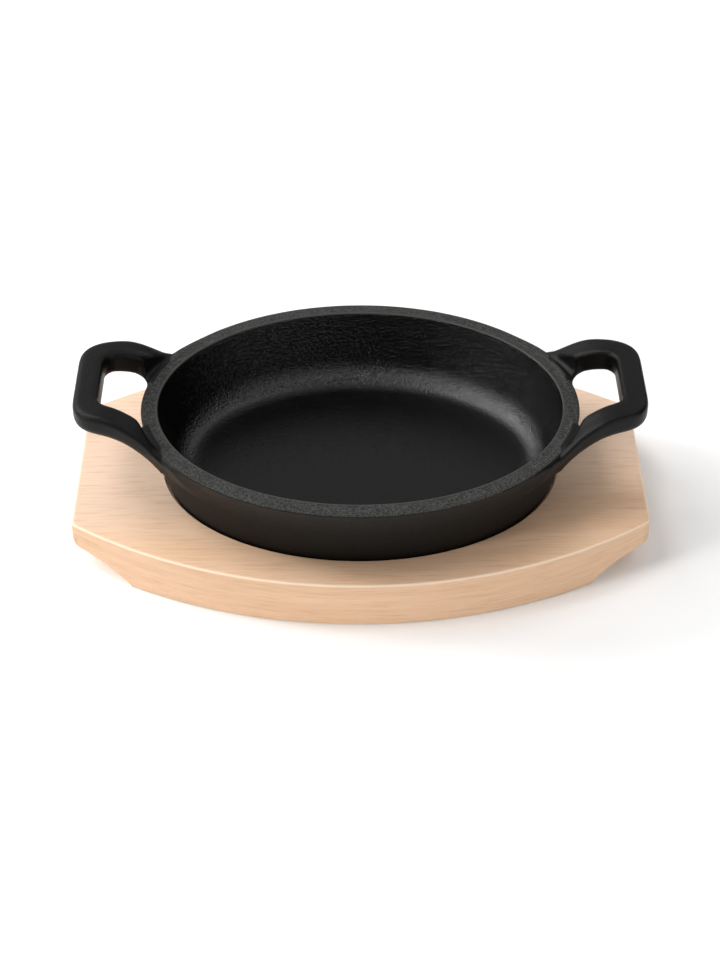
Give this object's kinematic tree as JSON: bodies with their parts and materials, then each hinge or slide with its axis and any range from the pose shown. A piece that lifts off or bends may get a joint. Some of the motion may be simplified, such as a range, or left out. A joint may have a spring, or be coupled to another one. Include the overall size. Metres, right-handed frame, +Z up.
{
  "type": "oval serving pan on board",
  "caption": "Oval cast-iron serving pan with raised loop handles, resting loose in the recess of a wooden board with finger grips.",
  "frame": {"origin": "middle of the board's underside, which is also the middle of the underside of the object's box", "axes": "+X along the two handles and the board's length, +Y across the board, +Z up"},
  "size_m": [0.1988, 0.1258, 0.0568],
  "materials": {
    "cast_iron": "black seasoned casting, finely pebbled",
    "beech": "sanded and lightly oiled, grain along the length"
  },
  "bodies": {
    "board": {"wooden_board": "beech"},
    "pan": {"cast_iron_pan": "cast_iron"}
  },
  "joints": [
    {"name": "pan_lift", "type": "slide", "parent": "board", "child": "pan", "axis": [0, 0, 1], "range_m": [0, 0.06]}
  ]
}
